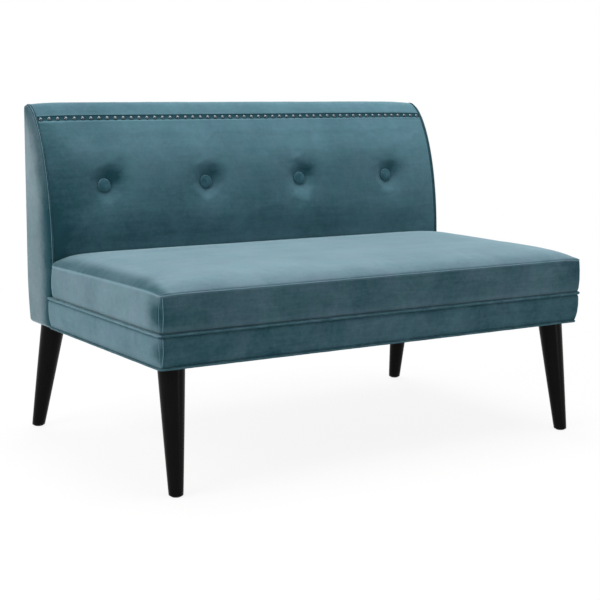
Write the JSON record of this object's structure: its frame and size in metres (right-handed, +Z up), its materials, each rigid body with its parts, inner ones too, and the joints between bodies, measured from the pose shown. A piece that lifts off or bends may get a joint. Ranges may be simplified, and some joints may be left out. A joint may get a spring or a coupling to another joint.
{
  "type": "settee",
  "caption": "Armless upholstered settee: curved tufted back with a nail-head line, fixed box seat with corded seams, and round tapered splayed legs.",
  "frame": {"origin": "centre of the footprint box, at floor level", "axes": "+Z up, width along X, the front faces -Y and the back is at +Y"},
  "size_m": [1.2834, 0.7957, 0.8682],
  "materials": {
    "velvet": "blue-teal short-pile velvet",
    "foam": "cream upholstery foam with wrap",
    "frame_wood": "bare hardwood frame stock",
    "black_wood": "black satin lacquer on turned wood",
    "steel": "plain zinc-plated steel",
    "nickel": "polished nickel nail heads",
    "felt": "grey pressed felt",
    "webbing": "dark woven elastic webbing",
    "glide_plastic": "black nylon",
    "dust_cloth": "thin black non-woven cloth"
  },
  "bodies": {
    "root": {"back_bottom_rail_front": "frame_wood", "back_bottom_rail_rear": "frame_wood", "back_edge_welt_left": "velvet", "back_edge_welt_right": "velvet", "back_end_panel_left": "frame_wood", "back_end_panel_right": "frame_wood", "back_foam": "foam", "back_inside_cover": "velvet", "back_outside_cover": "velvet", "back_side_pad_left": "velvet", "back_side_pad_right": "velvet", "back_top_cover": "velvet", "back_top_rail": "frame_wood", "back_tufting_rail": "frame_wood", "back_webbing_lower": "webbing", "back_webbing_middle": "webbing", "back_webbing_upper": "webbing", "base_welt": "velvet", "corner_block_front_left": "frame_wood", "corner_block_front_right": "frame_wood", "corner_block_rear_left": "frame_wood", "corner_block_rear_right": "frame_wood", "dust_cover": "dust_cloth", "glide_front_left": "glide_plastic", "glide_front_right": "glide_plastic", "glide_rear_left": "glide_plastic", "glide_rear_right": "glide_plastic", "leg_bolt_front_left": "steel", "leg_bolt_front_right": "steel", "leg_bolt_rear_left": "steel", "leg_bolt_rear_right": "steel", "leg_front_left": "black_wood", "leg_front_right": "black_wood", "leg_rear_left": "black_wood", "leg_rear_right": "black_wood", "mid_welt": "velvet", "nail_strip": "nickel", "rail_band": "velvet", "seat_boxing": "velvet", "seat_foam": "foam", "seat_insulator": "felt", "seat_rail_front": "frame_wood", "seat_rail_left": "frame_wood", "seat_rail_rear": "frame_wood", "seat_rail_right": "frame_wood", "seat_spring_1": "steel", "seat_spring_2": "steel", "seat_spring_3": "steel", "seat_spring_4": "steel", "seat_spring_5": "steel", "seat_spring_6": "steel", "seat_stretcher": "frame_wood", "seat_top_cover": "velvet", "tuft_button_1": "velvet", "tuft_button_2": "velvet", "tuft_button_3": "velvet", "tuft_button_4": "velvet", "unit_bolt_left": "steel", "unit_bolt_right": "steel"}
  },
  "joints": []
}
